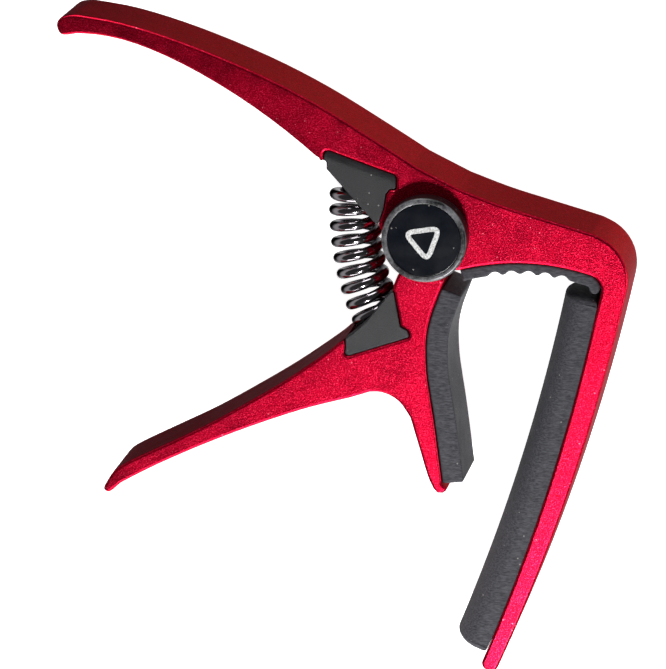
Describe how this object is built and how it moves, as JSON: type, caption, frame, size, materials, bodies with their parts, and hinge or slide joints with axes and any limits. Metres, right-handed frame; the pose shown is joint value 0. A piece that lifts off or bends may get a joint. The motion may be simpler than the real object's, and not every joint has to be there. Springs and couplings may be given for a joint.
{
  "type": "guitar capo",
  "caption": "Trigger guitar capo: two sprung crimson aluminium arms on one pivot, with a curved string pad, a ribbed edge pad and a neck pad.",
  "frame": {"origin": "centre of the back cap's outer rim plane, on the pivot's axis", "axes": "+Z along the pivot towards the front cap, +Y up the handles' side, +X towards the string arm"},
  "size_m": [0.0871, 0.1004, 0.019],
  "materials": {
    "anodised_crimson": "bead-blasted, crimson anodised with a fine sparkle",
    "pad_rubber": "moulded silicone rubber, matte with a soft sheen",
    "moulded_nylon": "moulded nylon with a fine texture",
    "nickel_plate": "bright nickel-plated spring wire",
    "plated_steel": "turned and plated",
    "cap_plastic": "moulded, with a scuffed satin rim",
    "badge_gloss": "gloss blue-black with a plain off-white outline",
    "bush_brass": "turned"
  },
  "bodies": {
    "upper": {"upper_arm": "anodised_crimson", "string_pad": "pad_rubber", "edge_pad": "pad_rubber", "upper_spring_seat": "moulded_nylon", "spring": "nickel_plate", "pivot_bolt": "plated_steel", "pivot_screw": "plated_steel", "front_washer": "plated_steel", "back_washer": "plated_steel", "front_cap": "cap_plastic", "back_cap": "cap_plastic", "front_badge": "badge_gloss", "back_badge": "badge_gloss"},
    "lower": {"lower_arm": "anodised_crimson", "neck_pad": "pad_rubber", "lower_spring_seat": "moulded_nylon", "pivot_bush": "bush_brass"}
  },
  "joints": [
    {"name": "squeeze", "type": "hinge", "parent": "upper", "child": "lower", "pos_m": [0, 0, 0.0095], "axis": [0, 0, -1], "range_deg": [0, 22], "stiffness_Nm_per_rad": 0.3, "springref_deg": -57.3, "deforming": ["spring"]}
  ]
}
